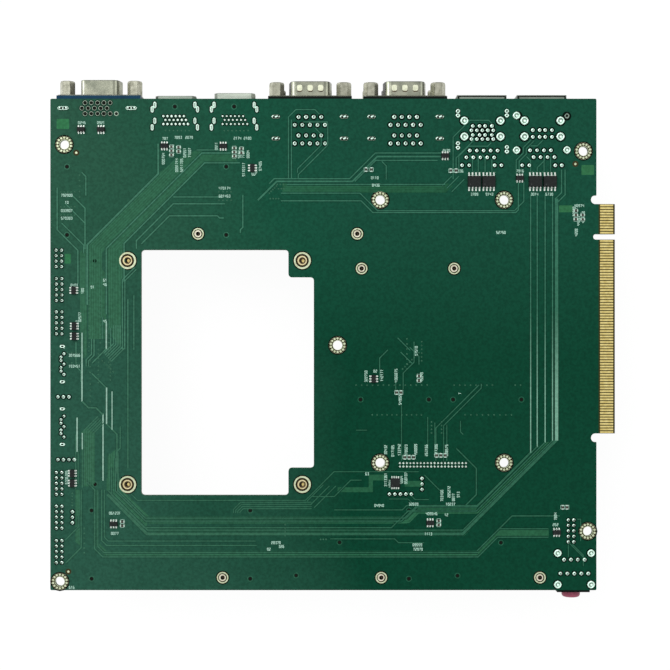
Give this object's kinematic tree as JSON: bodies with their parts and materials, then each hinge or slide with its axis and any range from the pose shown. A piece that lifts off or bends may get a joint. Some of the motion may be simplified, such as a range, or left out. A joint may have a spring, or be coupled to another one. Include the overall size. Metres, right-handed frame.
{
  "type": "carrier board",
  "caption": "Green circuit board with a gold edge connector, a large module window, ports along one edge and sockets and headers on its component side.",
  "frame": {"origin": "on the plane that the board's tallest ports stand on, under the middle of the whole assembly", "axes": "+X along the port edge towards the gold edge connector, +Y out of the port edge, +Z out of the solder side, which faces up"},
  "size_m": [0.2068, 0.1914, 0.0341],
  "materials": {
    "solder_mask": "green solder mask over copper on glass-epoxy laminate",
    "gold_plating": "gold plated copper",
    "post_brass": "turned brass",
    "nut_tin": "tin plated, turned",
    "shell_nickel": "nickel plated drawn steel, satin",
    "jackscrew_nickel": "nickel plated, turned from hexagon bar",
    "port_steel": "tinned stamped steel",
    "pin_tin": "tinned and soldered",
    "pin_gold": "gold flashed",
    "port_blue": "moulded, blue",
    "black_plastic": "moulded, black",
    "slot_plastic": "moulded, dark grey",
    "bus_blue": "moulded, blue",
    "bus_white": "moulded, white",
    "indicator": "clear tinted light pipes",
    "barrel_pink": "moulded, pink",
    "barrel_green": "moulded, lime green",
    "wafer_ivory": "moulded, ivory",
    "chip_black": "moulded epoxy",
    "passive_body": "fired ceramic with tinned ends"
  },
  "bodies": {
    "root": {"circuit_board": "solder_mask", "edge_contacts": "gold_plating", "mounting_lands": "gold_plating", "module_posts": "post_brass", "card_nuts": "nut_tin", "analogue_port_housing": "port_blue", "analogue_port_shell": "shell_nickel", "analogue_port_jackscrews": "jackscrew_nickel", "analogue_port_pins": "pin_tin", "flat_port_1_shell": "port_steel", "flat_port_1_core": "black_plastic", "flat_port_1_pins": "pin_tin", "flat_port_2_shell": "port_steel", "flat_port_2_core": "black_plastic", "flat_port_2_pins": "pin_tin", "serial_stack_1_housing": "black_plastic", "serial_stack_1_shells": "shell_nickel", "serial_stack_1_jackscrews": "jackscrew_nickel", "serial_stack_1_contacts": "pin_gold", "serial_stack_1_locks": "port_steel", "serial_stack_2_housing": "black_plastic", "serial_stack_2_shells": "shell_nickel", "serial_stack_2_jackscrews": "jackscrew_nickel", "serial_stack_2_contacts": "pin_gold", "serial_stack_2_locks": "port_steel", "network_stack_1_cage": "port_steel", "network_stack_1_insert": "black_plastic", "network_stack_1_tongues": "bus_blue", "network_stack_1_pins": "pin_tin", "network_stack_1_lights": "indicator", "network_stack_2_cage": "port_steel", "network_stack_2_insert": "black_plastic", "network_stack_2_tongues": "bus_white", "network_stack_2_pins": "pin_tin", "network_stack_2_lights": "indicator", "audio_jack_housing": "black_plastic", "audio_jack_line_barrel": "barrel_green", "audio_jack_microphone_barrel": "barrel_pink", "audio_jack_pins": "pin_tin", "storage_port_housings": "black_plastic", "storage_port_contacts": "pin_gold", "header_bases": "black_plastic", "header_pins": "pin_gold", "wafer_housings": "wafer_ivory", "wafer_pins": "pin_tin", "fine_header_base": "black_plastic", "fine_header_pins": "pin_gold", "module_slot_housing": "slot_plastic", "module_slot_contacts": "pin_tin", "card_sockets": "slot_plastic", "card_socket_contacts": "pin_tin", "sim_holder_bodies": "black_plastic", "sim_holder_covers": "port_steel", "sim_holder_contacts": "pin_gold", "chip_bodies": "chip_black", "chip_leads": "pin_tin", "chip_passives": "passive_body"}
  },
  "joints": []
}
